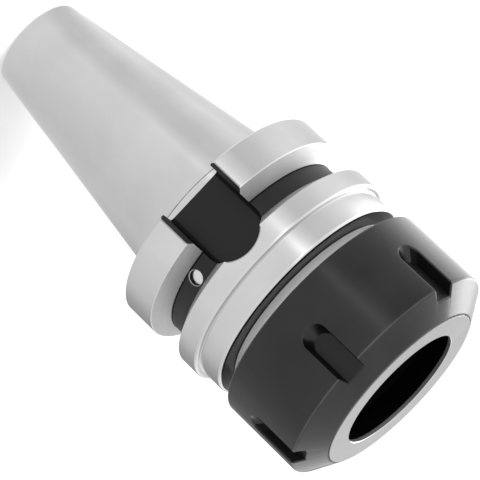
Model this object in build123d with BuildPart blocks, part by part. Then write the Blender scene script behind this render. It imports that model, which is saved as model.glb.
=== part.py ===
from build123d import *
from math import cos, hypot, radians, sin, tan
import os

# Collet chuck holder: a steep taper tool holder whose nose takes a collet, and the nut that clamps it.
# The origin is the centre of the gauge plane, where the shank's taper has its gauge diameter.
# +Z runs along the axis towards the nut. Sizes are in millimetres and degrees.

# Steep taper shank, below the gauge plane
gauge_diameter = 44.45
taper_ratio = 7 / 24
shank_length = 65.4
shank_end_chamfer = 0.4

# Relief between the taper and the flange
relief_length = 2.0
relief_depth = 0.325

# Flange with the gripper groove
flange_diameter = 63.0
flange_front_z = 27.6
flange_rear_chamfer = 0.6
flange_front_round = 0.8
groove_centre_z = 16.6
groove_mouth_width = 10.0
groove_depth = 4.5
groove_angle = 60.0
groove_lip_chamfer = 0.3

# Two drive slots across the flange
slot_width = 16.1
slot_floor_distance = 22.5
slot_end_centre_z = 16.3
slot_edge_chamfer = 1.3

# Collar in front of the flange
collar_step = 1.5
collar_length = 6.9
collar_front_round = 1.0

# Neck and threaded nose; the nut is as wide as the flange, so its wall sets the thread
nut_wall = 6.5
thread_diameter = flange_diameter - 2 * nut_wall
thread_pitch = 1.5
neck_length = 4.9
neck_fillet = 1.0
run_out_width = 1.6
nose_length = 14.6
nose_chamfer = 0.8

# Collet socket and the room behind the collet
nose_wall = 4.8
socket_half_angle = 8.0
socket_depth = 36.0
socket_lip_chamfer = 0.4
cavity_step = 0.64
cavity_length = 10.0
cavity_floor_rise = 2.0

# Bores on the axis, from the cavity back to the small end
stop_bore_diameter = 18.0
stop_bore_length = 34.0
coolant_bore_diameter = 12.0
stud_thread_bore_diameter = 13.84
stud_thread_depth = 32.0
stud_pilot_diameter = 17.0
stud_pilot_depth = 5.0

# Coolant channels: a cross hole from the groove floor and an inlet from the flange's rear face
channel_angle = 30.6
channel_diameter = 3.8
channel_lip_chamfer = 0.25
plug_sink = 1.0
plug_length = 3.0
plug_clearance = 0.01
inlet_edge_distance = 4.5
inlet_meeting_depth = 7.0
inlet_diameter = 3.6
inlet_thread_diameter = 5.0
inlet_thread_depth = 7.0
inlet_screw_length = 4.5
inlet_screw_sink = 1.2
inlet_screw_clearance = 0.03
inlet_screw_socket = 2.5
inlet_screw_socket_depth = 2.0

# Length stop screw in the bore behind the collet
stop_screw_length = 18.0
stop_screw_sink = 4.0
stop_screw_clearance = 0.06
stop_screw_chamfer = 1.0
stop_screw_socket = 10.0
stop_screw_socket_depth = 9.0
stop_screw_hole_diameter = 6.0

# Clamping nut
nut_gap = 4.1
nut_reach = 11.5
nut_rear_round = 0.5
nut_chamfer_length = 4.45
nut_rim_width = 0.45
nut_thread_clearance = 0.06
nut_counterbore_clearance = 0.2
nut_counterbore_depth = 4.4
nut_seat_depth = 9.5

# Six wrench slots in the nut
wrench_slot_count = 6
wrench_slot_depth = 3.0
wrench_slot_floor_width = 5.4
wrench_slot_mouth_width = 6.6
wrench_slot_length = 15.8
wrench_slot_ramp = 2.9
wrench_slot_turn = 7.4

# Pressure ring that turns in the nut, with its retaining wire
ring_entry_gap = 0.49
ring_clearance = 0.05
ring_protrusion = 0.3
ring_length = 9.2
ring_edge_round = 0.25
ring_land_length = 1.1
ring_cone_half_angle = 30.0
ring_cone_depth = 3.4
ring_wall = 2.4
ring_groove_depth = 0.7
ring_lip_thickness = 1.1
ring_lip_wall = 3.7
ring_lip_offset = 0.9
wire_diameter = 2.0
wire_groove_clearance = 0.05
wire_depth = 4.5
wire_arc = 352.0

# A cutter starts or ends this far outside the metal it cuts
cut_margin = 1.0


def at_radius(angle, radius, z):
    """Point at an angle around the axis, a distance from it and a height."""
    return Vector(radius * cos(radians(angle)), radius * sin(radians(angle)), z)


def corner(sketch, radius, z):
    """The corner of a turned section that is nearest to a radius and height."""
    return sketch.vertices().sort_by_distance((radius, z))[0]


# Turned profile of the holder: radii and heights of its outer corners, from the small end up
shank_end_radius = (gauge_diameter - shank_length * taper_ratio) / 2
relief_radius = gauge_diameter / 2 - relief_depth
flange_radius = flange_diameter / 2
groove_floor_radius = flange_radius - groove_depth
groove_flank_rise = groove_depth * tan(radians(groove_angle / 2))
groove_rear_z = groove_centre_z - groove_mouth_width / 2
groove_front_z = groove_centre_z + groove_mouth_width / 2
collar_radius = flange_radius - collar_step
collar_front_z = flange_front_z + collar_length
neck_radius = thread_diameter / 2
neck_end_z = collar_front_z + neck_length
nose_front_z = neck_end_z + nose_length

# The thread stands as a cylinder at its pitch diameter, and the run-out lies below its root
nose_radius = (thread_diameter - 0.6495 * thread_pitch) / 2
run_out_radius = (thread_diameter - 1.6 * thread_pitch) / 2

outer_corners = [
    (shank_end_radius, -shank_length),
    (gauge_diameter / 2, 0),
    (relief_radius, 0),
    (relief_radius, relief_length),
    (flange_radius, relief_length),
    (flange_radius, groove_rear_z),
    (groove_floor_radius, groove_rear_z + groove_flank_rise),
    (groove_floor_radius, groove_front_z - groove_flank_rise),
    (flange_radius, groove_front_z),
    (flange_radius, flange_front_z),
    (collar_radius, flange_front_z),
    (collar_radius, collar_front_z),
    (neck_radius, collar_front_z),
    (neck_radius, neck_end_z),
    (run_out_radius, neck_end_z),
    (run_out_radius, neck_end_z + run_out_width),
    (nose_radius, neck_end_z + run_out_width),
    (nose_radius, nose_front_z),
]

# Inner corners, from the socket's mouth back down to the small end
socket_mouth_radius = neck_radius - nose_wall
socket_floor_z = nose_front_z - socket_depth
socket_end_radius = socket_mouth_radius - socket_depth * tan(radians(socket_half_angle))
cavity_radius = socket_end_radius - cavity_step
cavity_floor_z = socket_floor_z - cavity_length
stop_bore_end_z = cavity_floor_z - stop_bore_length
stud_thread_end_z = stud_thread_depth - shank_length

inner_corners = [
    (socket_mouth_radius, nose_front_z),
    (socket_end_radius, socket_floor_z),
    (cavity_radius, socket_floor_z),
    (cavity_radius, cavity_floor_z + cavity_floor_rise),
    (stop_bore_diameter / 2, cavity_floor_z),
    (stop_bore_diameter / 2, stop_bore_end_z),
    (coolant_bore_diameter / 2, stop_bore_end_z),
    (coolant_bore_diameter / 2, stud_thread_end_z),
    (stud_thread_bore_diameter / 2, stud_thread_end_z),
    (stud_thread_bore_diameter / 2, stud_pilot_depth - shank_length),
    (stud_pilot_diameter / 2, stud_pilot_depth - shank_length),
    (stud_pilot_diameter / 2, -shank_length),
]

# Coolant channel directions: one beside each drive slot, half a turn apart
channel_angles = [channel_angle - 90, channel_angle + 90]
inlet_mouth_radius = flange_radius - inlet_edge_distance
inlet_meeting_radius = groove_floor_radius - inlet_meeting_depth
inlet_length = hypot(inlet_mouth_radius - inlet_meeting_radius, groove_centre_z - relief_length)


def inlet_plane(angle):
    """Plane at an inlet's mouth on the flange's rear face, looking along the sloping inlet."""
    mouth = at_radius(angle, inlet_mouth_radius, relief_length)
    meeting = at_radius(angle, inlet_meeting_radius, groove_centre_z)
    return Plane(origin=mouth, z_dir=meeting - mouth)


# Holder body: one turned and ground piece, then milled and drilled
with BuildPart() as holder_body:
    with BuildSketch(Plane.XZ) as section:
        with BuildLine():
            Polyline(*outer_corners, *inner_corners, close=True)
        make_face()
        chamfer(corner(section, shank_end_radius, -shank_length), shank_end_chamfer)
        chamfer(corner(section, flange_radius, relief_length), flange_rear_chamfer)
        chamfer(corner(section, flange_radius, groove_rear_z), groove_lip_chamfer)
        chamfer(corner(section, flange_radius, groove_front_z), groove_lip_chamfer)
        fillet(corner(section, flange_radius, flange_front_z), flange_front_round)
        fillet(corner(section, collar_radius, collar_front_z), collar_front_round)
        fillet(corner(section, neck_radius, collar_front_z), neck_fillet)
        chamfer(corner(section, nose_radius, nose_front_z), nose_chamfer)
        chamfer(corner(section, socket_mouth_radius, nose_front_z), socket_lip_chamfer)
    revolve(axis=Axis.Z)

    # Drive slots, open to the rear, with a round end under the flange's front ring
    for side in (-1, 1):
        slot_floor = Plane(
            origin=(0, side * slot_floor_distance, 0), x_dir=(-side, 0, 0), z_dir=(0, side, 0)
        )
        slot_height = flange_radius - slot_floor_distance + cut_margin
        slot_start_z = relief_length - cut_margin
        with BuildSketch(slot_floor):
            with Locations((0, slot_start_z)):
                Rectangle(
                    slot_width, slot_end_centre_z - slot_start_z, align=(Align.CENTER, Align.MIN)
                )
            with Locations((0, slot_end_centre_z)):
                Circle(slot_width / 2)
        extrude(amount=slot_height, mode=Mode.SUBTRACT)

        # Chamfers on the slot's two long edges, in the flange's rear ring
        edge_depth = (flange_radius**2 - (slot_width / 2) ** 2) ** 0.5 - slot_edge_chamfer
        spread = slot_edge_chamfer + cut_margin
        with BuildSketch(Plane.XY.offset(slot_start_z)):
            with BuildLine():
                Polyline(
                    (-slot_width / 2, side * edge_depth),
                    (slot_width / 2, side * edge_depth),
                    (slot_width / 2 + spread, side * (edge_depth + spread)),
                    (-slot_width / 2 - spread, side * (edge_depth + spread)),
                    close=True,
                )
            make_face()
        extrude(amount=groove_centre_z - slot_start_z, mode=Mode.SUBTRACT)

    # Cross holes from the groove floor to the cavity, with a small countersink
    for angle in channel_angles:
        outward = Plane(origin=(0, 0, groove_centre_z), z_dir=at_radius(angle, 1, 0))
        with BuildSketch(outward.offset(cavity_radius - cut_margin)):
            Circle(channel_diameter / 2)
        extrude(amount=groove_floor_radius - cavity_radius + 2 * cut_margin, mode=Mode.SUBTRACT)
        with Locations(outward.offset(groove_floor_radius)):
            Cone(
                channel_diameter / 2,
                channel_diameter / 2 + 2 * channel_lip_chamfer,
                2 * channel_lip_chamfer,
                mode=Mode.SUBTRACT,
            )

        # Sloping inlet from the rear face, with its threaded mouth
        mouth_plane = inlet_plane(angle)
        with BuildSketch(mouth_plane):
            Circle(inlet_diameter / 2)
        extrude(amount=inlet_length, mode=Mode.SUBTRACT)
        with BuildSketch(mouth_plane.offset(-2 * cut_margin)):
            Circle(inlet_thread_diameter / 2)
        extrude(amount=inlet_thread_depth + 2 * cut_margin, mode=Mode.SUBTRACT)

holder_body.part.label = "holder_body"

# Channel plugs, pressed into the cross holes below the groove floor
channel_plugs = []
for number, angle in enumerate(channel_angles, start=1):
    plug_top = groove_floor_radius - plug_sink
    with BuildPart() as channel_plug:
        plug_base = Plane(origin=at_radius(angle, plug_top, groove_centre_z), z_dir=at_radius(angle, -1, 0))
        with BuildSketch(plug_base):
            Circle(channel_diameter / 2 - plug_clearance)
        extrude(amount=plug_length)
    channel_plug.part.label = f"channel_plug_{number}"
    channel_plugs.append(channel_plug.part)

# Inlet screws: socket set screws that close the inlets on the flange's rear face
inlet_screws = []
for number, angle in enumerate(channel_angles, start=1):
    with BuildPart() as inlet_screw:
        screw_top = inlet_plane(angle).offset(inlet_screw_sink)
        with BuildSketch(screw_top):
            Circle(inlet_thread_diameter / 2 - inlet_screw_clearance)
        extrude(amount=inlet_screw_length)
        with BuildSketch(screw_top):
            RegularPolygon(inlet_screw_socket / 2, 6, major_radius=False)
        extrude(amount=inlet_screw_socket_depth, mode=Mode.SUBTRACT)
    inlet_screw.part.label = f"inlet_screw_{number}"
    inlet_screws.append(inlet_screw.part)

# Length stop screw: a hollow set screw that the tool's end rests on
with BuildPart() as length_stop_screw:
    stop_screw_front = Plane.XY.offset(cavity_floor_z - stop_screw_sink)
    with BuildSketch(stop_screw_front):
        Circle(stop_bore_diameter / 2 - stop_screw_clearance)
    extrude(amount=-stop_screw_length)
    chamfer(length_stop_screw.edges().filter_by(GeomType.CIRCLE), stop_screw_chamfer)
    with BuildSketch(stop_screw_front):
        RegularPolygon(stop_screw_socket / 2, 6, major_radius=False)
    extrude(amount=-stop_screw_socket_depth, mode=Mode.SUBTRACT)
    Hole(stop_screw_hole_diameter / 2)
length_stop_screw.part.label = "length_stop_screw"

# Cutter for one wrench slot: a milled pocket that ramps up to the rear and runs out at the front
nut_radius = flange_radius
nut_rear_z = collar_front_z + nut_gap
nut_front_z = nose_front_z + nut_reach
wrench_slot_floor_radius = nut_radius - wrench_slot_depth
wrench_slot_rear_z = nut_front_z - wrench_slot_length
cutter_growth = 1 + cut_margin / wrench_slot_depth
wrench_slot_top_width = (
    wrench_slot_floor_width + (wrench_slot_mouth_width - wrench_slot_floor_width) * cutter_growth
)
wrench_slot_levels = [
    (wrench_slot_floor_radius, wrench_slot_floor_width, wrench_slot_rear_z),
    (
        nut_radius + cut_margin,
        wrench_slot_top_width,
        wrench_slot_rear_z - wrench_slot_ramp * cutter_growth,
    ),
]
with BuildPart() as wrench_slot:
    for level_radius, width, rear_z in wrench_slot_levels:
        with BuildSketch(Plane(origin=(level_radius, 0, 0), x_dir=(0, 1, 0), z_dir=(1, 0, 0))):
            end_centre_z = rear_z + width / 2
            with Locations((0, end_centre_z)):
                Circle(width / 2)
                Rectangle(
                    width,
                    nut_front_z + cut_margin - end_centre_z,
                    align=(Align.CENTER, Align.MIN),
                )
    loft()

# Clamping nut: turned, with six wrench slots and a groove for the ring's retaining wire
thread_root_radius = (thread_diameter - 1.0825 * thread_pitch) / 2
ring_radius = thread_root_radius - ring_entry_gap
seat_radius = ring_radius + ring_clearance
nut_bore_radius = nose_radius + nut_thread_clearance
counterbore_radius = neck_radius + nut_counterbore_clearance
counterbore_end_z = nut_rear_z + nut_counterbore_depth
wire_centre_z = nut_front_z - wire_depth
wire_centre_radius = ring_radius + ring_clearance / 2
wire_groove_radius = wire_diameter / 2 + wire_groove_clearance

with BuildPart() as clamping_nut:
    with BuildSketch(Plane.XZ) as section:
        with BuildLine():
            Polyline(
                (counterbore_radius, nut_rear_z),
                (nut_radius, nut_rear_z),
                (nut_radius, nut_front_z - nut_chamfer_length),
                (seat_radius + nut_rim_width, nut_front_z),
                (seat_radius, nut_front_z),
                (seat_radius, nut_front_z - nut_seat_depth),
                (nut_bore_radius, nut_front_z - nut_seat_depth),
                (nut_bore_radius, counterbore_end_z),
                (counterbore_radius, counterbore_end_z),
                close=True,
            )
        make_face()
        fillet(corner(section, nut_radius, nut_rear_z), nut_rear_round)
        with Locations((wire_centre_radius, wire_centre_z)):
            Circle(wire_groove_radius, mode=Mode.SUBTRACT)
    revolve(axis=Axis.Z)
    with PolarLocations(0, wrench_slot_count, start_angle=wrench_slot_turn - 90):
        add(wrench_slot.part, mode=Mode.SUBTRACT)
clamping_nut.part.label = "clamping_nut"

# Pressure ring: its cone pushes the collet in, and its off-centre lip pulls the collet out
ring_front_z = nut_front_z + ring_protrusion
ring_rear_z = ring_front_z - ring_length
ring_groove_radius = ring_radius - ring_wall
ring_cone_radius = ring_groove_radius - ring_groove_depth
ring_mouth_radius = ring_cone_radius - ring_cone_depth
land_end_z = ring_front_z - ring_land_length
cone_end_z = land_end_z - ring_cone_depth / tan(radians(ring_cone_half_angle))
lip_front_z = ring_rear_z + ring_lip_thickness

with BuildPart() as pressure_ring:
    with BuildSketch(Plane.XZ) as section:
        with BuildLine():
            Polyline(
                (ring_radius, ring_rear_z),
                (ring_radius, ring_front_z),
                (ring_mouth_radius, ring_front_z),
                (ring_mouth_radius, land_end_z),
                (ring_cone_radius, cone_end_z),
                (ring_groove_radius, cone_end_z),
                (ring_groove_radius, lip_front_z),
                (ring_mouth_radius, lip_front_z),
                (ring_mouth_radius, ring_rear_z),
                close=True,
            )
        make_face()
        fillet(corner(section, ring_radius, ring_front_z), ring_edge_round)
        with Locations((wire_centre_radius, wire_centre_z)):
            Circle(wire_groove_radius, mode=Mode.SUBTRACT)
    revolve(axis=Axis.Z)
    with BuildSketch(Plane.XY.offset(ring_rear_z - cut_margin)):
        with Locations((ring_lip_offset, 0)):
            Circle(ring_radius - ring_lip_wall)
    extrude(amount=cut_margin + ring_lip_thickness, mode=Mode.SUBTRACT)
pressure_ring.part.label = "pressure_ring"

# Retaining wire: an open ring of round wire, half in the nut's groove and half in the ring's
with BuildPart() as retaining_wire:
    with BuildSketch(Plane.XZ):
        with Locations((wire_centre_radius, wire_centre_z)):
            Circle(wire_diameter / 2)
    revolve(axis=Axis.Z, revolution_arc=wire_arc)
retaining_wire.part.label = "retaining_wire"

# Every finished piece in a file of its own
os.makedirs("parts", exist_ok=True)
pieces = [
    holder_body.part,
    *channel_plugs,
    *inlet_screws,
    length_stop_screw.part,
    clamping_nut.part,
    pressure_ring.part,
    retaining_wire.part,
]
for piece in pieces:
    export_step(piece, f"parts/{piece.label}.step")
    print(piece.label, round(piece.volume, 1), "mm3")
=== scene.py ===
# %% [markdown]
# A collet chuck holder, dressed for its picture.
#
# This script lays a finely turned skin over the three large pieces, gives every piece its finish, and sets
# up a plain studio. The origin is the centre of the gauge plane, +Z runs towards the nut, and the frame is
# in metres.

# %% The frame
from math import radians

import bpy
import numpy as np
from mathutils import Matrix, Vector


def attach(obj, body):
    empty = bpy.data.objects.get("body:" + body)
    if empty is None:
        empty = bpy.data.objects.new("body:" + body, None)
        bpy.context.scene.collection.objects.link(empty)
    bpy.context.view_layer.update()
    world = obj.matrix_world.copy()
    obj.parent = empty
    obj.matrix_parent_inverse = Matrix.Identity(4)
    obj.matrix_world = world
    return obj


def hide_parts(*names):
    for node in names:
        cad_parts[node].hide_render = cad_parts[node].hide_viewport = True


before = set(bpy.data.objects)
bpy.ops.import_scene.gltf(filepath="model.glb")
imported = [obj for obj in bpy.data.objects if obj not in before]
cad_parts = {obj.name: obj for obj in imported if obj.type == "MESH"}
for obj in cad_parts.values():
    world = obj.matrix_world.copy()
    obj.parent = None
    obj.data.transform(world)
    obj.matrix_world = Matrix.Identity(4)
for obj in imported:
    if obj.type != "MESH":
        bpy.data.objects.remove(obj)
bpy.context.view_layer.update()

scene = bpy.context.scene
scene.view_settings.view_transform = "Standard"

# %% [markdown]
# The picture was taken from in front of the nut, with the camera rolled over so that the axis runs down to
# the right. A camera can be placed by angles and then nudged until it fits. Here it is placed from what a
# fit to the edges gave: which way the axis points as the camera sees it, where the gauge plane's centre
# lies, and how far round the axis the camera stands. Those three say all there is to say about it.

# %% The camera from the fitted view
axis_in_view = Vector((0.68539, -0.655576, 0.316956))
gauge_centre_in_view = Vector((-0.00667717, 0.00731609, -0.61642024))
camera_bearing = radians(-91.6)
focal_length_in_widths = 2488.19 / 480

camera_height = -gauge_centre_in_view.dot(axis_in_view)
towards_camera = (-gauge_centre_in_view - axis_in_view * camera_height).normalized()
sideways = axis_in_view.cross(towards_camera)
x_in_view = towards_camera * np.cos(camera_bearing) - sideways * np.sin(camera_bearing)
y_in_view = towards_camera * np.sin(camera_bearing) + sideways * np.cos(camera_bearing)
turn = Matrix((x_in_view, y_in_view, axis_in_view))

camera = bpy.data.objects.new("camera", bpy.data.cameras.new("camera"))
camera.data.sensor_width = 36.0
camera.data.lens = camera.data.sensor_width * focal_length_in_widths
camera.data.clip_start, camera.data.clip_end = 0.05, 20.0
camera.matrix_world = Matrix.Translation(turn @ -gauge_centre_in_view) @ turn.to_4x4()
scene.collection.objects.link(camera)
scene.camera = camera
print("camera at", [round(c, 3) for c in camera.matrix_world.translation], "lens", round(camera.data.lens, 1))

# %% [markdown]
# No turned edge is perfectly sharp: each has a small break that catches the light as a bright line. The
# outline of a turned piece is a list of corners, and each corner gets a radius. A bevel modifier could do
# it afterwards, but rounding the flat outline first is exact, and costs nothing on a surface of revolution.

# %% Round the corners of a flat outline
ARC_STEPS = 4


def rounded(corners):
    """Closed outline (r, z) with each corner (r, z, radius) replaced by an arc.

    The arc touches both sides at radius / tan(half the corner's angle) from the corner, and its centre lies
    on the corner's bisector at radius / sin(half the angle).
    """
    table = np.asarray(corners, float)
    point, radius = table[:, :2], table[:, 2]
    back = np.roll(point, 1, axis=0) - point
    ahead = np.roll(point, -1, axis=0) - point
    back /= np.linalg.norm(back, axis=1, keepdims=True)
    ahead /= np.linalg.norm(ahead, axis=1, keepdims=True)
    half = np.arccos(np.clip((back * ahead).sum(axis=1), -1, 1)) / 2
    middle = back + ahead
    middle /= np.linalg.norm(middle, axis=1, keepdims=True)
    centre = point + middle * (radius / np.sin(half))[:, None]
    first = point + back * (radius / np.tan(half))[:, None] - centre
    last = point + ahead * (radius / np.tan(half))[:, None] - centre
    start = np.arctan2(first[:, 1], first[:, 0])
    sweep = np.arctan2(last[:, 1], last[:, 0]) - start
    sweep = (sweep + np.pi) % (2 * np.pi) - np.pi
    angle = start[:, None] + sweep[:, None] * np.linspace(0, 1, ARC_STEPS + 1)
    arc = centre[:, None] + radius[:, None, None] * np.stack([np.cos(angle), np.sin(angle)], axis=-1)
    return arc.reshape(-1, 2)


print("a square becomes", len(rounded([(0, 0, 0.1), (1, 0, 0.1), (1, 1, 0.1), (0, 1, 0.1)])), "points")

# %% [markdown]
# Every new piece is a grid of points: one parameter runs round the axis or round a section, the other along
# the outline. The Screw modifier could spin an outline too, but a grid can also let the radius change with
# the angle, which is how the threads are cut below. The points are worked out in millimetres, as a maker
# would, and become metres only when they go into the mesh.

# %% From points to a mesh
MM = 0.001


def mesh_of(name, points, faces):
    """Mesh object in metres from points in millimetres, with its faces turned outwards.

    The sign of the sum of (a x b) . c over the faces' triangles, six times the enclosed volume, tells
    whether the faces look in or out.
    """
    mesh = bpy.data.meshes.new(name)
    mesh.from_pydata((points * MM).tolist(), [], faces)
    mesh.update()
    mesh.calc_loop_triangles()
    corners = np.empty(len(mesh.loop_triangles) * 3, np.int64)
    mesh.loop_triangles.foreach_get("vertices", corners)
    a, b, c = points[corners.reshape(-1, 3).T]
    if (np.cross(a, b) * c).sum() < 0:
        mesh.flip_normals()
    made = bpy.data.objects.new(name, mesh)
    scene.collection.objects.link(made)
    return made


print("one millimetre is", MM, "in the frame")

# %% [markdown]
# The holder, the nut and the ring come off a lathe, so each is an outline repeated at even angles round the
# axis. More columns give rounder edges and a heavier mesh. With 200, the widest edge leaves a true circle by
# four thousandths of a millimetre, which no picture shows.

# %% Turn an outline round the axis
COLUMNS = 200


def grid_faces(rows, columns, closed_rows):
    """Quads between neighbouring grid points; columns wrap round, and rows wrap if closed_rows is true."""
    stretches = rows if closed_rows else rows - 1
    row, column = np.meshgrid(np.arange(stretches), np.arange(columns), indexing="ij")
    here, ahead = row * columns, (row + 1) % rows * columns
    beside = (column + 1) % columns
    quads = [here + column, here + beside, ahead + beside, ahead + column]
    return np.stack(quads, axis=-1).reshape(-1, 4).tolist()


def turned(name, outline, radius_at):
    """Piece turned round Z: point (i, j) is outline point i at angle j, x = r cos(angle), y = r sin(angle).

    radius_at(r, z, angle) gives the radius, which changes with the angle on a thread.
    """
    angle = np.arange(COLUMNS) * 2 * np.pi / COLUMNS
    r, z, angle = np.broadcast_arrays(outline[:, :1], outline[:, 1:], angle)
    r = radius_at(r, z, angle)
    points = np.stack([r * np.cos(angle), r * np.sin(angle), z], axis=-1)
    return mesh_of(name, points.reshape(-1, 3), grid_faces(len(outline), COLUMNS, True))


print("turned pieces have", COLUMNS, "columns")

# %% [markdown]
# The nose's thread shows once the nut is screwed off, and the pull stud's thread shows in the small end. A
# picture of a thread could be drawn into the normals alone, but its outline would stay straight. Here the
# radius itself follows the helix: a crest, a flank, a root and a flank for each turn.

# %% The radius on a thread
def thread_depth(z, angle, pitch, crest, root):
    """How deep in the thread a point is, from 0 on the crest to 1 in the root.

    The distance from the nearest crest, in pitches, is that of z / pitch - angle / 2 pi from a whole number.
    crest and root are half the flats' widths in pitches, and the flank rises evenly between them.
    """
    turns = z / pitch - angle / (2 * np.pi)
    away = np.abs(turns - np.round(turns))
    return np.clip((away - crest) / (0.5 - crest - root), 0, 1)


def thread_rows(start, end, radius, pitch, per_turn):
    """Outline points (r, z) close enough together to show the thread between two heights."""
    count = int(round(abs(end - start) / pitch * per_turn)) + 1
    z = np.linspace(start, end, count)
    return np.stack([np.full(count, radius), z], axis=1)


nose_pitch, stud_pitch = 1.5, 2.0
print("rows for ten turns on the nose:", len(thread_rows(0, 10 * nose_pitch, 25, nose_pitch, 10)))

# %% [markdown]
# The holder is one piece of steel: the shank with its 7/24 taper, the flange with the gripper's groove, the
# collar, the neck, the threaded nose and all the bores behind it. The CAD solid's own mesh could be used,
# but it has neither the small roundings nor the threads. Its outline is walked once, up the outside and down
# the inside. Each corner is a radius, a height and the rounding of its edge.

# %% The holder's outside, from the small end to the nose
taper_rate, gauge_radius, shank_length, shank_chamfer = 7 / 48, 22.225, 65.4, 0.4
step_radius, flange_rear = 21.9, 2.0
flange_radius, flange_front, flange_chamfer = 31.5, 27.6, 0.6
groove_floor, groove_middle, half_floor, half_mouth = 27.0, 16.6, 2.4, 5.0
floor_rear, floor_front = groove_middle - half_floor, groove_middle + half_floor
groove_rear, groove_front = groove_middle - half_mouth, groove_middle + half_mouth
collar_radius, collar_front = 30.0, 34.5
neck_radius, neck_front = 25.0, 39.4
run_out_radius, thread_start = 23.8, 41.0

outside = [
    (gauge_radius - taper_rate * shank_length - shank_chamfer, -shank_length, 0.1),
    (gauge_radius - taper_rate * (shank_length - shank_chamfer), shank_chamfer - shank_length, 0.15),
    (gauge_radius, -0.05, 0.06),
    (step_radius, 0.12, 0.06),
    (step_radius, flange_rear, 0.25),
    (flange_radius - flange_chamfer, flange_rear, 0.1),
    (flange_radius, flange_rear + flange_chamfer, 0.15),
    (flange_radius, groove_rear, 0.35),
    (groove_floor, floor_rear, 0.1),
    # This corner, 0.02 mm in, adds a row for the painted shadow line along the groove floor's rear edge.
    (groove_floor - 0.02, floor_rear + 0.4, 0.05),
    (groove_floor, floor_front, 0.2),
    (flange_radius, groove_front, 0.35),
    (flange_radius, flange_front, 0.8),
    (collar_radius, flange_front, 0.15),
    (collar_radius, collar_front, 1.0),
    (neck_radius, collar_front, 0.4),
    (neck_radius, neck_front, 0.2),
    (run_out_radius, neck_front, 0.2),
    (run_out_radius, thread_start, 0.2),
]
print("corners outside:", len(outside))

# %% The holder's inside, from the nose back to the small end
nose_front, nose_crest = 54.0, 24.95
socket_radius, socket_chamfer = 20.2, 0.4
socket_rear_radius, socket_rear = 15.14, 18.0
cavity_radius, cavity_floor, cavity_cone = 14.5, 10.0, 2.0
stop_bore_radius, stop_bore_rear = 9.0, -26.0
coolant_radius = 6.0
stud_crest, stud_front = 6.92, 32.0 - shank_length
pilot_radius, pilot_front = 8.5, 4.6 - shank_length

bores = [
    (socket_radius + socket_chamfer, nose_front, 0.1),
    (socket_radius, nose_front - socket_chamfer, 0.1),
    (socket_rear_radius, socket_rear, 0.1),
    (cavity_radius, socket_rear, 0.1),
    (cavity_radius, cavity_floor, 0.5),
    (stop_bore_radius, cavity_floor - cavity_cone, 0.2),
    (stop_bore_radius, stop_bore_rear, 0.2),
    (coolant_radius, stop_bore_rear, 0.3),
    (coolant_radius, stud_front, 0.2),
]
pilot = [(pilot_radius, pilot_front, 0.2), (pilot_radius, -shank_length, 0.3)]
print("corners inside:", len(bores) + len(pilot))

# %% [markdown]
# A thread lies between two corners of the outline, so its rows are put in there, and the radius of those
# rows follows the helix. A real nose has its front edge chamfered through the thread, which keeps the first
# turn from ending in a thin blade, and the smaller of the two radii makes the same cut here.

# %% Turn the holder
nose_tooth, stud_tooth, nose_front_radius = 0.92, 1.05, 23.9


def holder_radius(r, z, angle):
    """The outline's radius, less the nose's thread outside and plus the pull stud's thread inside.

    On the nose it is never more than the chamfer's: its radius at the front plus the distance from there.
    """
    on_nose = (r > run_out_radius + 0.2) & (z > thread_start - 0.01)
    crest_less_tooth = r - nose_tooth * thread_depth(z, angle, nose_pitch, 1 / 16, 1 / 8)
    r = np.where(on_nose, np.minimum(crest_less_tooth, nose_front_radius + (nose_front - z)), r)
    on_stud = (np.abs(r - stud_crest) < 0.01) & (z < stud_front - 0.1)
    return np.where(on_stud, r + stud_tooth * thread_depth(z, angle, stud_pitch, 1 / 8, 1 / 16), r)


corner_rows = rounded(outside + bores + pilot)
nose_row = len(outside) * (ARC_STEPS + 1)
stud_row = nose_row + len(bores) * (ARC_STEPS + 1)
holder_outline = np.concatenate([
    corner_rows[:nose_row],
    thread_rows(thread_start, nose_front, nose_crest, nose_pitch, 10),
    corner_rows[nose_row:stud_row],
    thread_rows(stud_front - 0.2, pilot_front, stud_crest, stud_pitch, 8),
    corner_rows[stud_row:],
])
holder = turned("holder_skin", holder_outline, holder_radius)
print("holder:", len(holder_outline), "rows,", len(holder.data.polygons), "faces")

# %% [markdown]
# A material is a tree of nodes, and each node takes a line to add it, one for every property and one for
# every link. Clicking them together in the editor works too, but can't be read back from a script. A few
# helpers say each step in one line, so that the finishes below read like what they do.

# %% Nodes, sums and ranges
def connect(tree, socket, value):
    """Give an input socket a value, or a link if the value is an output socket."""
    if isinstance(value, bpy.types.NodeSocket):
        tree.links.new(value, socket)
    else:
        socket.default_value = value


def node(tree, kind, inputs=(), **settings):
    """Add a node, set its properties, and give its inputs, a dictionary by name or number, their values."""
    made = tree.nodes.new(kind)
    for key, value in settings.items():
        setattr(made, key, value)
    for key, value in dict(inputs).items():
        connect(tree, made.inputs[key], value)
    return made


def maths(tree, operation, *values):
    """Math node on values or sockets; gives its output socket."""
    return node(tree, "ShaderNodeMath", enumerate(values), operation=operation).outputs[0]


def remap(tree, value, start, end, low, high):
    """Map a value from start..end onto low..high; gives the output socket."""
    return node(tree, "ShaderNodeMapRange", enumerate((value, start, end, low, high))).outputs[0]


print("helpers for single nodes:", [made.__name__ for made in (connect, node, maths, remap)])

# %% [markdown]
# What several finishes share goes into a node group, which is built once and used like a single node. Copies
# of the nodes in every material would look the same, but a change would have to be made in each of them.

# %% Node groups
def new_group(name, inputs, outputs):
    """Empty shader node group; inputs and outputs are dictionaries of socket names and kinds."""
    tree = bpy.data.node_groups.new(name, "ShaderNodeTree")
    for direction, sockets in (("INPUT", inputs), ("OUTPUT", outputs)):
        for socket, kind in sockets.items():
            tree.interface.new_socket(socket, in_out=direction, socket_type="NodeSocket" + kind)
    return tree, tree.nodes.new("NodeGroupInput").outputs, tree.nodes.new("NodeGroupOutput").inputs


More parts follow.
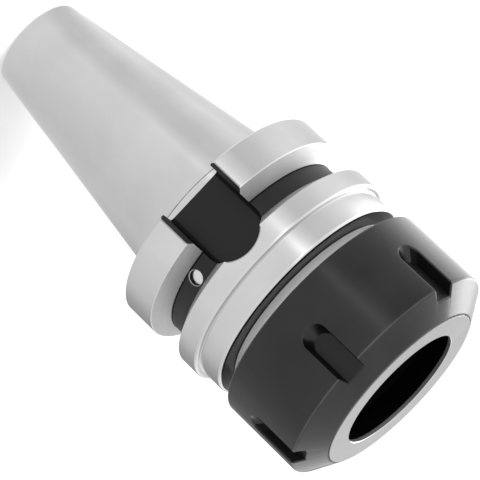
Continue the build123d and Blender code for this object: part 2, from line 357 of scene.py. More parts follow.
def use_group(tree, group, inputs):
    """Put a node group in a tree; gives its output sockets."""
    made = tree.nodes.new("ShaderNodeGroup")
    made.node_tree = group
    for key, value in inputs.items():
        connect(tree, made.inputs[key], value)
    return made.outputs


print("helpers for groups:", [made.__name__ for made in (new_group, use_group)])

# %% [markdown]
# Every surface here was turned or ground, so it carries fine lines round the axis. They could be painted as
# an image, but noise needs none and never repeats. The noise is read at the height plus the distance from
# the axis, which changes across a cylinder, a cone and a flat face alike, and it drifts only slowly round
# the axis. A second, broad noise gives the clouds of handling. Both read Object coordinates, because those
# stay on the metal when a piece moves.

# %% The lathe's lines
DRIFT_PER_METRE, CLOUDS_PER_METRE = 40.0, 70.0
lathe_lines, given, result = new_group(
    "lathe_lines", {"Position": "Vector", "Lines per mm": "Float"}, {"Lines": "Float", "Clouds": "Float"}
)
place = node(lathe_lines, "ShaderNodeSeparateXYZ", {0: given["Position"]}).outputs
drift = [maths(lathe_lines, "MULTIPLY", place[axis], DRIFT_PER_METRE) for axis in (0, 1)]
off_axis = node(lathe_lines, "ShaderNodeCombineXYZ", {0: place[0], 1: place[1]}).outputs[0]
off_axis = node(lathe_lines, "ShaderNodeVectorMath", {0: off_axis}, operation="LENGTH").outputs["Value"]
along = maths(lathe_lines, "MULTIPLY", maths(lathe_lines, "ADD", place[2], off_axis), 1 / MM)
along = maths(lathe_lines, "MULTIPLY", along, given["Lines per mm"])
stretched = node(lathe_lines, "ShaderNodeCombineXYZ", enumerate((*drift, along))).outputs[0]
fine = {"Vector": stretched, "Scale": 1.0, "Detail": 2.0}
connect(lathe_lines, result["Lines"], node(lathe_lines, "ShaderNodeTexNoise", fine).outputs[0])
broad = {"Vector": given["Position"], "Scale": CLOUDS_PER_METRE, "Detail": 3.0}
connect(lathe_lines, result["Clouds"], node(lathe_lines, "ShaderNodeTexNoise", broad).outputs[0])
print("group lathe_lines:", len(lathe_lines.nodes), "nodes")

# %% [markdown]
# Each finish differs in its grey, in how rough it is, in how far it mirrors like bare metal, and in its
# lines. The group gives the unevenness, and the shader and its fixed values stay in the material itself, so
# that each finish can be read there at a glance.

# %% A finish on the lathe's lines
CLOUD_RANGE, MIXED_RANGE = (0.35, 0.65), (0.4, 0.6)


def finish(name, grey, roughness, metallic, lines_per_mm, line_height, specular=0.5):
    """Clouds change the grey, lines and clouds together the roughness, and the lines alone the normal.

    grey and roughness are (low, high) pairs, reached at the ends of the range that the noise mostly keeps
    to; line_height is in millimetres.
    """
    made = bpy.data.materials.new(name)
    made.use_nodes = True
    tree = made.node_tree
    shader = tree.nodes["Principled BSDF"].inputs
    shader["Metallic"].default_value = metallic
    shader["Specular IOR Level"].default_value = specular
    position = tree.nodes.new("ShaderNodeTexCoord").outputs["Object"]
    lines, clouds = use_group(tree, lathe_lines, {"Position": position, "Lines per mm": lines_per_mm})
    shade = remap(tree, clouds, *CLOUD_RANGE, *grey)
    tint = node(tree, "ShaderNodeCombineColor", enumerate((shade, shade, shade)))
    connect(tree, shader["Base Color"], tint.outputs[0])
    mixed = maths(tree, "MULTIPLY", maths(tree, "ADD", lines, clouds), 0.5)
    connect(tree, shader["Roughness"], remap(tree, mixed, *MIXED_RANGE, *roughness))
    bump = node(tree, "ShaderNodeBump", {"Height": lines, "Strength": 0.5, "Distance": line_height * MM})
    connect(tree, shader["Normal"], bump.outputs[0])
    return made


ground = finish("bright_ground", (0.60, 0.65), (0.08, 0.12), 1.0, 5.0, 0.0005)
print("first finish:", ground.name, "with", len(ground.node_tree.nodes), "nodes")

# %% [markdown]
# The rest of the bare steel. The plugs are turned bright, the wire is drawn, the groove's flanks are rough
# enough to blur what they mirror, and the collar's front face is dark. The neck behind the nut lies in a
# narrow gap, where true metal would mirror only the dark face beside it. It has to stay light there, as in
# the picture, so it scatters light almost like paint.

# %% Bare steel
bright = finish("bright_turned", (0.66, 0.74), (0.20, 0.30), 1.0, 3.0, 0.004)
flank = finish("groove_flank", (0.50, 0.56), (0.52, 0.60), 1.0, 4.0, 0.002)
dark_face = finish("dark_face", (0.08, 0.11), (0.30, 0.38), 0.9, 4.0, 0.002)
neck = finish("neck_steel", (0.87, 0.93), (0.40, 0.50), 0.1, 4.0, 0.001)
wire = finish("drawn_wire", (0.45, 0.52), (0.25, 0.35), 1.0, 4.0, 0.002)
print("bare steel:", [made.name for made in (ground, bright, flank, dark_face, neck, wire)])

# %% [markdown]
# Black oxide is a thin skin on the steel. It could be a dark metal, but a metal's reflections take its own
# colour, so black metal would mirror next to nothing. The skin keeps a faint shine without colour: it is
# almost black and not metallic, and that shine alone shows the studio. The nut's smooth faces are glossy,
# and what a cutter or a drill left behind is duller. Only the screws have some bare metal showing through.

# %% Black oxide
oxide = finish("black_oxide", (0.001, 0.008), (0.13, 0.19), 0.0, 4.0, 0.002, specular=0.45)
turned_black = finish("turned_black", (0.003, 0.006), (0.35, 0.45), 0.0, 4.0, 0.003, specular=0.35)
milled = finish("milled_black", (0.002, 0.004), (0.35, 0.45), 0.0, 4.0, 0.002, specular=0.35)
ramp = finish("ramp_black", (0.002, 0.004), (0.25, 0.32), 0.0, 4.0, 0.002)
wall = finish("wall_black", (0.002, 0.003), (0.50, 0.60), 0.0, 4.0, 0.002, specular=0.12)
# The bores' black also serves as a painted shadow line along the groove floor's rear edge.
bore_and_shadow_black = finish("bored_black", (0.002, 0.003), (0.50, 0.60), 0.0, 4.0, 0.003, specular=0.1)
screw = finish("black_screw", (0.03, 0.05), (0.35, 0.45), 0.3, 4.0, 0.003)
print("black:", [made.name for made in (oxide, turned_black, milled, ramp, wall, bore_and_shadow_black, screw)])

# %% [markdown]
# On edges the finish changes. The nut's front edge, between its side and its chamfer, is painted a little
# lighter, a painted highlight for the bright line along it. The ring's mouth land and outer rim are painted a
# darker grey, painted shade for the dark they mirror. The broken edges of the drive slots and the mouths of
# the cross holes show a thin grey rim. A mask could find such edges by itself, but here they are known rows
# and faces, so they get their own finishes.

# %% Edge finishes: painted highlight, painted shade and grey rims
# A lighter grey for the nut's edge between side and chamfer: a painted highlight for the bright line along
# it.
edge_highlight = finish("rubbed_edge", (0.022, 0.055), (0.30, 0.38), 0.0, 4.0, 0.002, specular=0.45)
# A darker grey for the ring's mouth land and outer rim: painted shade for the dark those edges mirror.
rim_shade = finish("worn_edge", (0.16, 0.22), (0.40, 0.50), 0.5, 4.0, 0.002)
rim = finish("slot_rim", (0.32, 0.40), (0.40, 0.50), 0.4, 4.0, 0.002)
print("edges:", [made.name for made in (edge_highlight, rim_shade, rim)])

# %% [markdown]
# A turned piece changes its finish from one row of faces to the next, never within a row. So the finishes
# are given by rules on a row's radius and height, in one pass over the outline, instead of picking faces.

# %% Finishes by rows
def band(radii, heights):
    """Rule that takes the rows whose middle lies between two radii and between two heights."""
    return lambda r, z: (r > radii[0]) & (r < radii[1]) & (z > heights[0]) & (z < heights[1])


def paint(piece, outline, base, *zones):
    """Give a turned piece its finishes: a zone is (finish, rule), and rule(r, z) says which rows it takes."""
    middle = (outline + np.roll(outline, -1, axis=0)) / 2
    slot = np.zeros(len(outline), np.int32)
    piece.data.materials.append(base)
    for number, (zone_finish, rule) in enumerate(zones, start=1):
        piece.data.materials.append(zone_finish)
        slot[rule(middle[:, 0], middle[:, 1])] = number
    piece.data.polygons.foreach_set("material_index", np.repeat(slot, COLUMNS))
    print(piece.name, "rows by finish:", np.bincount(slot, minlength=len(zones) + 1).tolist())


print("each row that a rule takes is", COLUMNS, "faces")

# %% [markdown]
# The holder is ground, with blackened bores. The groove has its black floor, with a painted shadow line along
# its rear edge, and its rough flanks. In front of the collar come the dark face and the light neck.

# %% Paint the holder
def in_the_bores(r, z):
    """Rows that stay 1.5 mm under the taper's radius and within the socket, but for the small end's face."""
    under_taper = gauge_radius + taper_rate * z - 1.5
    return (r < np.minimum(socket_radius + 0.5, under_taper)) & (z > 0.1 - shank_length)


paint(
    holder, holder_outline, ground,
    (turned_black, band((groove_floor - 1.0, groove_floor + 0.25), (floor_rear - 0.2, floor_front + 0.2))),
    (flank, band((groove_floor + 0.25, flange_radius - 0.15), (groove_rear + 0.1, groove_front - 0.1))),
    # A thin band of the bores' black along the floor's rear edge: painted shadow where floor and flank meet.
    (bore_and_shadow_black, band((groove_floor - 0.1, groove_floor + 0.2), (floor_rear - 0.2, floor_rear + 0.42))),
    (dark_face, band((neck_radius - 0.1, collar_radius - 0.7), (collar_front - 0.2, collar_front + 0.3))),
    (neck, band((neck_radius - 0.1, neck_radius + 0.2), (collar_front + 0.25, neck_front))),
    (bore_and_shadow_black, in_the_bores),
)

# %% [markdown]
# A milled slot is a cutter's path taken out of the turned piece, so it is made that way: a closed solid with
# the slot's outline, subtracted from the piece. Modelling the slot's faces straight into the grid would
# break its even rows. The cutter is lofted through outlines at several depths, so its walls can slope.

# %% Outlines of slots and holes
ARC_POINTS, HOLE_SIDES = 24, 32


def stadium(half_width, centre, far_end):
    """Slot outline (x, z): a half circle round the centre height, then straight on to the far end."""
    angle = np.linspace(0, np.pi if far_end < centre else -np.pi, ARC_POINTS)
    x = np.append(half_width * np.cos(angle), [-half_width, half_width])
    z = np.append(centre + half_width * np.sin(angle), [far_end, far_end])
    return np.stack([x, z], axis=1)


def around(radius):
    """Circle (x, y) of a radius."""
    angle = np.arange(HOLE_SIDES) * 2 * np.pi / HOLE_SIDES
    return radius * np.stack([np.cos(angle), np.sin(angle)], axis=1)


print("points round a slot:", len(stadium(1, 0, -2)), "and round a hole:", len(around(1)))


# %% Closed cutters
def lofted(name, rings):
    """Closed piece through rings of points, (ring, point, xyz), with a flat face over each end."""
    count, size = rings.shape[:2]
    sides = grid_faces(count, size, False)
    ends = [list(range(size))[::-1], list(range((count - 1) * size, count * size))]
    return mesh_of(name, rings.reshape(-1, 3), sides + ends)


def cutter(name, outlines, levels, origin, direction, wall_finish, floor_finish=None):
    """Closed solid through flat outlines (a, b), one at each level along a direction from the origin.

    b runs towards +Z as far as the direction allows, and a runs at right angles to both. The walls it cuts
    get one finish, and the floors, made by its two end faces, may get another.
    """
    direction = np.asarray(direction, float) / np.linalg.norm(direction)
    side = np.cross((0, 0, 1), direction)
    side /= np.linalg.norm(side)
    up = np.cross(direction, side)
    flat = np.asarray(outlines, float)
    height = np.asarray(levels, float)[:, None, None]
    points = np.asarray(origin, float) + flat[..., :1] * side + flat[..., 1:] * up + height * direction
    made = lofted(name, points)
    made.data.materials.append(wall_finish)
    if floor_finish:
        made.data.materials.append(floor_finish)
        for face in made.data.polygons[-2:]:
            face.material_index = 1
    return made


print("a cutter's wall through three outlines has", len(grid_faces(3, ARC_POINTS + 2, False)), "faces")

# %% [markdown]
# The Boolean modifier subtracts one solid from another. Its exact solver carries the cutter's material onto
# the new faces, so the slots come out with their own finish, and those faces later tell where the cut edges
# are. The result is baked into the piece, because the next step needs its real faces.

# %% Cut away and bake
def bake(piece):
    """Make what the modifiers give the piece's own mesh."""
    bpy.context.view_layer.update()
    seen = piece.evaluated_get(bpy.context.evaluated_depsgraph_get())
    mesh = bpy.data.meshes.new_from_object(seen)
    piece.modifiers.clear()
    piece.data = mesh


def cut_away(piece, cutters):
    """Subtract each cutter from the piece, then remove the cutters."""
    for tool in cutters:
        step = piece.modifiers.new(tool.name, "BOOLEAN")
        step.operation, step.solver, step.material_mode = "DIFFERENCE", "EXACT", "TRANSFER"
        step.object = tool
    bake(piece)
    for tool in cutters:
        bpy.data.objects.remove(tool)
    print(piece.name, "cut by", len(cutters), "cutters:", len(piece.data.polygons), "faces")


print("helpers for cuts:", [made.__name__ for made in (bake, cut_away)])

# %% [markdown]
# A milled edge is broken with a file or a small chamfer, and without that the cuts would look printed on. A
# bevel by angle would also catch the thread and the turned corners, which have their roundings already. So
# the bevel goes by weight, and only edges between a cut face and a turned face get any.

# %% Find the cut edges
def meeting_edges(mesh, cut_finishes):
    """Edges with both a cut face and a face of the first finish, found by counting faces loop by loop."""
    names = [made.name for made in mesh.materials]
    slot, size = np.empty((2, len(mesh.polygons)), np.int32)
    mesh.polygons.foreach_get("material_index", slot)
    mesh.polygons.foreach_get("loop_total", size)
    edge = np.empty(len(mesh.loops), np.int32)
    mesh.loops.foreach_get("edge_index", edge)
    is_cut = np.isin(slot, [names.index(made.name) for made in cut_finishes])
    kinds = [np.repeat(kind, size) for kind in (is_cut, slot == 0)]
    cut_faces, first_faces = [np.bincount(edge, weights=kind, minlength=len(mesh.edges)) for kind in kinds]
    return (cut_faces > 0) & (first_faces > 0)


def edge_heights(mesh):
    """Height of each edge's middle, in millimetres."""
    ends, place = np.empty(2 * len(mesh.edges), np.int32), np.empty(3 * len(mesh.vertices))
    mesh.edges.foreach_get("vertices", ends)
    mesh.vertices.foreach_get("co", place)
    return place.reshape(-1, 3)[ends.reshape(-1, 2), 2].mean(axis=1) / MM


print("edges of a skin:", len(edge_heights(holder.data)))

# %% Break the cut edges
EDGE_BREAK = 0.35
ANY_HEIGHT = [(-100, 100)]


def break_edges(piece, cut_finishes, edge_finish, heights):
    """Bevel the edges where a cut face meets a turned one, and give the bevel its own finish.

    Only edges whose middle lies between one of the pairs of heights are broken: beside small roundings a
    wide bevel would fold over.
    """
    mesh = piece.data
    middle = edge_heights(mesh)
    between = np.any([(middle > low) & (middle < high) for low, high in heights], axis=0)
    broken = meeting_edges(mesh, cut_finishes) & between
    weights = mesh.attributes.new("bevel_weight_edge", "FLOAT", "EDGE").data
    weights.foreach_set("value", broken.astype(np.float32))
    mesh.materials.append(edge_finish)
    bevel = piece.modifiers.new("edge break", "BEVEL")
    bevel.limit_method, bevel.width, bevel.segments = "WEIGHT", EDGE_BREAK * MM, 2
    bevel.use_clamp_overlap, bevel.material = False, len(mesh.materials) - 1
    bake(piece)
    print(piece.name, "cut edges broken:", int(broken.sum()))


print("cut edges are broken by", EDGE_BREAK, "mm")

# %% [markdown]
# Smooth shading hides the columns of the grid, and edges past a set angle stay sharp. Weighted normals then
# let the large faces keep their own direction, so that a flat face beside a small rounding still mirrors
# like a flat one. Shading by angle alone would bend its reflections near the edge.

# %% Shade smooth
SHARP_PAST = radians(26)


def smooth(piece):
    """Shade smooth with sharp edges past an angle, and let large faces keep their own normals."""
    mesh = piece.data
    mesh.shade_smooth()
    mesh.set_sharp_from_angle(angle=SHARP_PAST)
    weighted = piece.modifiers.new("weighted normals", "WEIGHTED_NORMAL")
    weighted.keep_sharp = True


print("edges stay sharp past", round(np.degrees(SHARP_PAST)), "degrees")

# %% [markdown]
# Two drive slots take the spindle's keys. Each is open to the rear and ends round under the front ring, the
# edges of its floor are rounded, and its long edges have a wide chamfer in the rear ring. The rounding is
# part of the cutter: near the floor its outline steps in along a quarter circle.

# %% The drive slots' cutters
slot_half, slot_floor, slot_end, slot_round = 8.05, 22.5, 16.3, 1.0
slot_open_end, slot_top = 0.5, 33
slot_chamfer, chamfer_reach = 1.3, 2


def drive_slot_cutters(side):
    """The slot and the chamfer of its long edges, on the side of -Y (-1) or +Y (1).

    At a height h over the floor, the slot's wall is inset by R - sqrt(R^2 - (R - h)^2), R the rounding.
    """
    rise = slot_round * (1 - np.cos(np.linspace(0, np.pi / 2, 5)))
    inset = slot_round - np.sqrt(slot_round**2 - (slot_round - rise) ** 2)
    outlines = [stadium(slot_half - step, slot_end, slot_open_end) for step in (*inset, 0)]
    levels = [*(slot_floor + rise), slot_top]
    slot = cutter(f"slot {side}", outlines, levels, (0, 0, 0), (0, side, 0), wall, milled)
    deep = np.sqrt(flange_radius**2 - slot_half**2) - slot_chamfer
    low, high = slot_open_end, groove_middle
    outlines = [[(-w, low), (w, low), (w, high), (-w, high)] for w in (slot_half, slot_half + chamfer_reach)]
    levels = [deep, deep + chamfer_reach]
    return [slot, cutter(f"slot edges {side}", outlines, levels, (0, 0, 0), (0, side, 0), milled)]


cutters = drive_slot_cutters(-1) + drive_slot_cutters(1)
print("drive slots:", [tool.name for tool in cutters])

# %% [markdown]
# Beside each drive slot a cross hole leads in from the groove's floor, with a flared rim round its plug, and
# a sloping inlet leads to it from the flange's rear face, wide at first for its screw. A drill leaves just
# such holes, so they are cutters too, with round outlines.

# %% The channels' cutters
channel_bearing, channel_radius, channel_foot = 30.6, 1.9, 13.5
flare_depth, flares = 0.25, (0, 0, 0.25, 0.35)
inlet_start, inlet_end, inlet_radius = 27.0, 20.0, 1.8
screw_bore_radius, screw_bore_depth = 2.5, 7


def channel_cutters(bearing):
    """The cross hole at a bearing in degrees, and the inlet that runs from the rear face down to it."""
    out = np.array([np.cos(radians(bearing)), np.sin(radians(bearing)), 0])
    outlines = [around(channel_radius + flare) for flare in flares]
    levels = [channel_foot, groove_floor - flare_depth, groove_floor, groove_floor + 0.1]
    hole = cutter("cross hole", outlines, levels, (0, 0, groove_middle), out, bore_and_shadow_black, rim)
    for face in hole.data.polygons[HOLE_SIDES : 3 * HOLE_SIDES]:
        face.material_index = 1
    start, end = out * inlet_start + (0, 0, flange_rear), out * inlet_end + (0, 0, groove_middle)
    outlines = [around(r) for r in (screw_bore_radius, screw_bore_radius, inlet_radius, inlet_radius)]
    levels = [-2, screw_bore_depth, screw_bore_depth + 0.01, np.linalg.norm(end - start)]
    return [hole, cutter("inlet", outlines, levels, start, end - start, bore_and_shadow_black)]


cutters += channel_cutters(channel_bearing - 90) + channel_cutters(channel_bearing + 90)
print("all cutters:", len(cutters))

# %% [markdown]
# Now the skin is cut, its edges are broken and it takes the solid's place. The broken edges run only over
# the plain stretches of the rear and the front ring.

# %% Cut and finish the holder
rear_ring_stretch, front_ring_stretch = (2.8, 11.2), (21.95, 25.0)
cut_away(holder, cutters)
break_edges(holder, [milled, wall], rim, [rear_ring_stretch, front_ring_stretch])
smooth(holder)
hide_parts("holder_body")
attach(holder, "holder")
print("holder:", [made.name for made in holder.data.materials], len(holder.data.polygons), "faces")

# %% [markdown]
# The clamping nut is a black ring with a chamfered front. Inside it has a thread, a shoulder for the
# pressure ring, and a half-round groove for the wire. Its thread runs in the nose's thread with play all
# round, so that the two never touch however far it is turned.

# %% The nut's sizes and its thread
nut_radius, nut_rear, nut_front, nut_seat = 31.5, 38.6, 65.5, 56.0
nut_chamfer_start, nut_rim_radius, ring_bore = 61.05, 24.15, 23.75
skirt_bore, thread_rear = 25.3, 43.0
nut_root, nut_tooth, root_flat, tooth_flat = 25.06, 0.71, 0.17, 0.05
wire_radius, wire_height, wire_groove = 23.72, 61.0, 1.05


def groove_arc(side, steps=10):
    """Half circle (r, z) for the wire, bulging to larger radii (side 1) or smaller ones (side -1)."""
    angle = np.linspace(-np.pi / 2, np.pi / 2, steps)
    r = wire_radius + side * wire_groove * np.cos(angle)
    return np.stack([r, wire_height + wire_groove * np.sin(angle)], axis=1)


def nut_thread(r, z, angle):
    """The nut's radius: its tooth stands inwards halfway between the crests of the nose's thread."""
    depth = thread_depth(z, angle, nose_pitch, root_flat, tooth_flat)
    return np.where(np.abs(r - nut_root) < 0.01, r - nut_tooth * depth, r)


print("the nut's tooth reaches in to a radius of", round(nut_root - nut_tooth, 2))

# %% Turn and paint the nut
nut_outside = [
    (nut_root, thread_rear, 0.1),
    (skirt_bore, thread_rear - 0.2, 0.1),
    (skirt_bore, nut_rear, 0.4),
    (nut_radius, nut_rear, 0.6),
    (nut_radius, nut_chamfer_start, 1.0),
    (nut_rim_radius, nut_front, 0.3),
    (ring_bore, nut_front, 0.1),
]
nut_shoulder = [(ring_bore, nut_seat, 0.1), (nut_root, nut_seat, 0.1)]
corner_rows = rounded(nut_outside + nut_shoulder)
groove_row = len(nut_outside) * (ARC_STEPS + 1)
nut_outline = np.concatenate([
    corner_rows[:groove_row],
    groove_arc(1)[::-1],
    corner_rows[groove_row:],
    thread_rows(nut_seat - 0.2, thread_rear + 0.2, nut_root, nose_pitch, 8),
])
nut = turned("nut_skin", nut_outline, nut_thread)
paint(
    nut, nut_outline, oxide,
    (bore_and_shadow_black, band((0, 25.2), (0, nut_front - 0.2))),
    # The nut's edge between its side and its chamfer is painted lighter: a painted highlight.
    (edge_highlight, band((nut_radius - 0.3, nut_radius + 0.5), (nut_chamfer_start - 0.3, nut_chamfer_start + 0.25))),
)

# %% [markdown]
# Six slots round the nut take a hook wrench. A slot's end and sides slope, and its rear end rises as a ramp
# that catches the light. So its cutter is lofted from a narrow outline at the slot's floor to wider ones at
# the nut's edge and outside it, and the middle faces of the round end get the ramp's finish.

# %% Cut and finish the nut
wrench_floor, wrench_open_end, first_wrench_bearing = 28.5, 70, -82.6
wrench_levels = [wrench_floor, nut_radius, nut_radius + 2.5]
round_ends = [(2.7, 52.4), (3.3, 50.1), (3.8, 48.2)]
wrench_outlines = [stadium(half_width, centre, wrench_open_end) for half_width, centre in round_ends]
ramp_first, ramp_last = 6, 16


def wrench_slot_cutter(number):
    """Cutter for one of the six slots, with the ramp's finish on the middle of its round end."""
    bearing = radians(first_wrench_bearing + 60 * number)
    out = (np.cos(bearing), np.sin(bearing), 0)
    made = cutter(f"wrench slot {number}", wrench_outlines, wrench_levels, (0, 0, 0), out, wall, milled)
    made.data.materials.append(ramp)
    for stretch in range(len(wrench_levels) - 1):
        first = stretch * (ARC_POINTS + 2)
        for face in made.data.polygons[first + ramp_first : first + ramp_last + 1]:
            face.material_index = 2
    return made


cut_away(nut, [wrench_slot_cutter(number) for number in range(6)])
break_edges(nut, [milled, wall, ramp], oxide, ANY_HEIGHT)
smooth(nut)
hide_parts("clamping_nut")
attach(nut, "nut")
print("nut:", len(nut_outline), "rows,", len(nut.data.polygons), "faces")

# %% [markdown]
# The bright ring in the nut's front presses on the collet. Its lip is cut off centre, so that the collet's
# head snaps in when it is tilted, and a wire in a half-round groove holds the ring in the nut. The lip could
# be cut out by a solver like the slots, but an off-centre circle is just one more rule for the radius.

# %% The ring's sizes and its lip
ring_outer, ring_rear, ring_front, ring_mouth = 23.7, 56.6, 65.8, 17.2
land_rear, cone_radius, cone_rear, recess_radius = 64.7, 20.6, 58.8, 21.3
lip_radius, lip_front, lip_offset = 20.0, 57.7, 0.9


def lip(r, z, angle):
    """The lip's circle of lip_radius, its centre lip_offset away from the axis towards +X."""
    off_centre = lip_offset * np.cos(angle) + np.sqrt(lip_radius**2 - (lip_offset * np.sin(angle)) ** 2)
    return np.where((r < lip_radius + 0.11) & (z < lip_front + 0.1), r - lip_radius + off_centre, r)


print("the lip's radius goes from", lip_radius - lip_offset, "to", lip_radius + lip_offset)

# %% Turn and finish the pressure ring
corner_rows = rounded([
    (ring_outer, ring_rear, 0.2),
    (ring_outer, ring_front, 0.25),
    (ring_mouth + 0.15, ring_front, 0.05),
    (ring_mouth, ring_front - 0.15, 0.05),
    (ring_mouth, land_rear, 0.1),
    (cone_radius, cone_rear, 0.1),
    (recess_radius, cone_rear, 0.1),
    (recess_radius, lip_front, 0.1),
    (lip_radius, lip_front, 0.1),
    (lip_radius, ring_rear, 0.1),
])
ring_outline = np.concatenate([corner_rows[: ARC_STEPS + 1], groove_arc(-1), corner_rows[ARC_STEPS + 1 :]])
ring = turned("ring_skin", ring_outline, lip)
paint(
    ring, ring_outline, ground,
    (bore_and_shadow_black, band((0, 23.4), (0, land_rear + 0.05))),
    # The mouth land and the outer rim get the darker grey: painted shade.
    (rim_shade, band((0, ring_mouth + 0.05), (land_rear + 0.05, ring_front - 0.2))),
    (rim_shade, band((ring_outer - 0.2, ring_outer + 0.2), (ring_front - 0.4, ring_front + 0.1))),
)
smooth(ring)
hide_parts("pressure_ring")
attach(ring, "ring")
print("ring:", len(ring_outline), "rows,", len(ring.data.polygons), "faces")

# %% [markdown]
# The plugs, the screws and the wire are small, and mostly hidden. A new skin would show nothing that their
# solids don't, so they keep those and only get a finish.

# %% Finish the small pieces
for name, small_finish in {
    "channel_plug_1": bright,
    "channel_plug_2": bright,
    "inlet_screw_1": screw,
    "inlet_screw_2": screw,
    "length_stop_screw": screw,
    "retaining_wire": wire,
}.items():
    solid = bpy.data.objects[name]
    solid.material_slots[0].material = small_finish
    print(name, "gets", small_finish.name)

# %% [markdown]
# Steel shows what stands round it. The picture's bands are soft boxes and dark gaps beside the object, and
# they make up nearly all that the steel and the black oxide show. Real panels with lamps would do, but each
# would also light the floor. So the studio is a ring of greys round the object: a colour ramp over the
# bearing, which the world and the floor show to mirror rays alone.

# %% A ring of greys
BRIGHTEST = 4.0
to_camera = (np.cos(camera_bearing), np.sin(camera_bearing), 0)
to_right = (np.sin(camera_bearing), -np.cos(camera_bearing), 0)


def ring_of_greys(name, greys):
    """Node group: grey by bearing, from a list of (degrees to the right of the camera, grey).

    The bearing is atan2 of the direction's parts to the camera's right and towards it.
    """
    group, given, result = new_group(name, {"Direction": "Vector"}, {"Grey": "Float"})
    parts = [
        node(group, "ShaderNodeVectorMath", {0: given["Direction"], 1: axis}, operation="DOT_PRODUCT")
        for axis in (to_right, to_camera)
    ]
    bearing = maths(group, "ARCTAN2", *[part.outputs["Value"] for part in parts])
    ring_ramp = node(group, "ShaderNodeValToRGB", {0: remap(group, bearing, -np.pi, np.pi, 0, 1)})
    stops = ring_ramp.color_ramp.elements
    stops.remove(stops[1])
    for degrees_right, grey in greys:
        stop = stops.new(0.5 + degrees_right / 360)
        stop.color = (grey / BRIGHTEST, grey / BRIGHTEST, grey / BRIGHTEST, 1)
    stops.remove(stops[0])
    connect(group, result["Grey"], maths(group, "MULTIPLY", ring_ramp.outputs["Color"], BRIGHTEST))
    return group


near_ring = ring_of_greys("near_ring", [
    (-170, 1.1), (-140, 0.8), (-80, 0.8), (-40, 0.88), (0, 0.97), (30, 1.0), (50, 0.84), (70, 0.84),
    (108, 1.08), (135, 0.97), (170, 1.1),
])
print("ring near the object:", near_ring.name)

# %% [markdown]
# One ring isn't enough, because the nut, the flange and the shank mirror different heights. A near ring, a
# low ring and a panel lie on the floor, each farther out, and a high ring and one tall panel stand above the
# horizon. A single painted sky could hold them all, but these are short lists that can be tuned alone.

# %% The other four rings
low_ring = ring_of_greys("low_ring", [
    (-150, 0.36), (-130, 0.52), (-110, 0.76), (-86, 0.87), (-60, 0.97), (14, 1.0), (22, 1.1), (29, 1.35),
    (36, 1.05), (48, 0.79), (66, 0.84), (84, 1.05), (105, 1.1), (132, 0.94), (155, 0.88), (170, 0.95),
    (180, 0.4),
])
panel = ring_of_greys("panel", [
    (14, 1.0), (22, 1.05), (29, 1.3), (40, 1.05), (84, 1.0), (110, 1.7), (130, 2.3), (150, 1.85),
    (166, 1.6), (178, 1.0),
])
high_ring = ring_of_greys("high_ring", [
    (-180, 0.72), (-172, 0.9), (-158, 1.25), (-130, 0.85), (-60, 1.0), (12, 1.08), (29, 1.9), (44, 1.1),
    (60, 1.1), (100, 1.8), (140, 2.3), (155, 3.3), (166, 1.6), (175, 0.8), (180, 0.72),
])
tall_panel = ring_of_greys("tall_panel", [
    (142, 1.0), (145, 2.5), (150, 2.1), (156, 1.5), (162, 1.4), (168, 1.0),
])
print("rings:", [made.name for made in (near_ring, low_ring, panel, high_ring, tall_panel)])

# %% [markdown]
# The world is what a ray meets when it meets nothing else. The camera sees plain white there, mirror rays
# see the high ring and the tall panel, and all other rays get an even light. The Light Path node tells them
# apart. Both end in plain white farther up, so that faces looking up mirror an even light.

# %% The world
AMBIENT = 0.8
HIGH_RING_FADE, TALL_PANEL_TOP = (0.35, 0.95), (0.565, 0.58)


def faded(tree, group, direction, share):
    """1 where share is 0, the ring's grey where share is 1."""
    grey = use_group(tree, group, {"Direction": direction})["Grey"]
    return maths(tree, "ADD", 1.0, maths(tree, "MULTIPLY", maths(tree, "SUBTRACT", grey, 1.0), share))


world = bpy.data.worlds.new("studio")
scene.world = world
world.use_nodes = True
tree = world.node_tree
rays = tree.nodes.new("ShaderNodeLightPath").outputs
direction = tree.nodes.new("ShaderNodeTexCoord").outputs["Generated"]
height = node(tree, "ShaderNodeSeparateXYZ", {0: direction}).outputs[2]
high_part = faded(tree, high_ring, direction, remap(tree, height, *HIGH_RING_FADE, 1, 0))
tall_part = faded(tree, tall_panel, direction, remap(tree, height, *TALL_PANEL_TOP, 1, 0))
mirrored = maths(tree, "MULTIPLY", high_part, tall_part)
plain = maths(tree, "MAXIMUM", rays["Is Camera Ray"], AMBIENT)
strength = node(tree, "ShaderNodeMix", {0: rays["Is Glossy Ray"], 2: plain, 3: mirrored}).outputs[0]
background = tree.nodes["Background"].inputs
background["Color"].default_value = (1, 1, 1, 1)
connect(tree, background["Strength"], strength)
print("world:", world.name, "with", len(tree.nodes), "nodes")

# %% [markdown]
# The floor is white paper that takes the object's soft shadow. Mirror rays see a glow instead: the near ring
# round the object, the low ring farther out, and the panel beyond that. The camera gets a little extra
# light from the paper, so that it comes out as white as the world behind it.

# %% The floor
FLOOR_RADIUS, FLOOR_HEIGHT = 1.6, -shank_length * MM
centre = (0, 0, FLOOR_HEIGHT)
bpy.ops.mesh.primitive_circle_add(vertices=128, radius=FLOOR_RADIUS, fill_type="NGON", location=centre)
floor = bpy.context.object
floor.name = "floor"
print("floor: height", round(FLOOR_HEIGHT, 4), "radius", FLOOR_RADIUS)

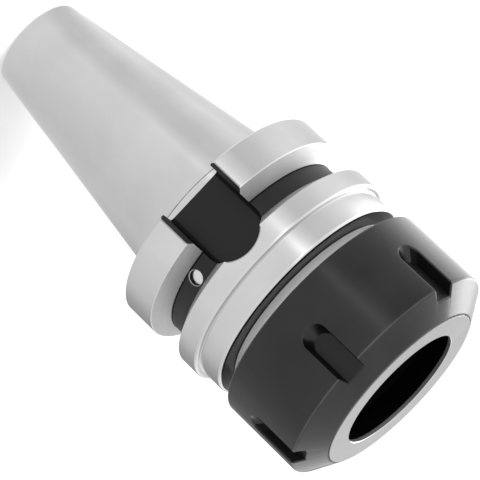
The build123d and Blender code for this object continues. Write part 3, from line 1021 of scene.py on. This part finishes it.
# %% What each ray sees on the paper
PAPER_LIFT = 0.15
NEAR_TO_LOW, LOW_TO_PANEL = (0.06, 0.20), (0.325, 0.36)
paper = bpy.data.materials.new("white_paper")
paper.use_nodes = True
tree = paper.node_tree
shader = tree.nodes["Principled BSDF"]
shader.inputs["Base Color"].default_value = (0.98, 0.98, 0.98, 1)
shader.inputs["Roughness"].default_value = 1.0
shader.inputs["Specular IOR Level"].default_value = 0.0
rays = tree.nodes.new("ShaderNodeLightPath").outputs
position = tree.nodes.new("ShaderNodeTexCoord").outputs["Object"]
distance = node(tree, "ShaderNodeVectorMath", {0: position}, operation="LENGTH").outputs["Value"]
near = use_group(tree, near_ring, {"Direction": position})["Grey"]
low = use_group(tree, low_ring, {"Direction": position})["Grey"]
farther = remap(tree, distance, *NEAR_TO_LOW, 0, 1)
greys = node(tree, "ShaderNodeMix", {0: farther, 2: near, 3: low}).outputs[0]
beyond = faded(tree, panel, position, remap(tree, distance, *LOW_TO_PANEL, 0, 1))
glow = node(tree, "ShaderNodeEmission", {"Strength": maths(tree, "MULTIPLY", greys, beyond)})
extra = maths(tree, "MULTIPLY", rays["Is Camera Ray"], PAPER_LIFT)
lift = node(tree, "ShaderNodeEmission", {"Strength": extra})
lifted = node(tree, "ShaderNodeAddShader", {0: shader.outputs[0], 1: lift.outputs[0]}).outputs[0]
by_ray = {0: rays["Is Glossy Ray"], 1: lifted, 2: glow.outputs[0]}
shown = node(tree, "ShaderNodeMixShader", by_ray).outputs[0]
connect(tree, tree.nodes["Material Output"].inputs["Surface"], shown)
floor.data.materials.append(paper)
print("paper:", len(tree.nodes), "nodes")

# %% [markdown]
# One large soft lamp, high over the nut and to the camera's right, gives the faint shadow on the paper. The
# rings already are what the steel mirrors, so the lamp is hidden from mirror rays, where it would only add
# a spot of light.

# %% The lamp
lamp_to_right, lamp_to_camera, lamp_height = 0.6, 0.25, 1.0
lamp = bpy.data.objects.new("key", bpy.data.lights.new("key", "AREA"))
scene.collection.objects.link(lamp)
lamp.data.shape, lamp.data.size, lamp.data.energy = "DISK", 0.5, 6.0
lamp.location = Vector(to_right) * lamp_to_right + Vector(to_camera) * lamp_to_camera
lamp.location.z = lamp_height
lamp.rotation_euler = (-lamp.location).to_track_quat("-Z", "Y").to_euler()
lamp.visible_camera = lamp.visible_glossy = False
print("lamp at", [round(c, 2) for c in lamp.location])

# %% [markdown]
# The skins have to keep to the solids' size, or a part that looks right would not fit its neighbours.

# %% The end of the script
print("end of the scene script")
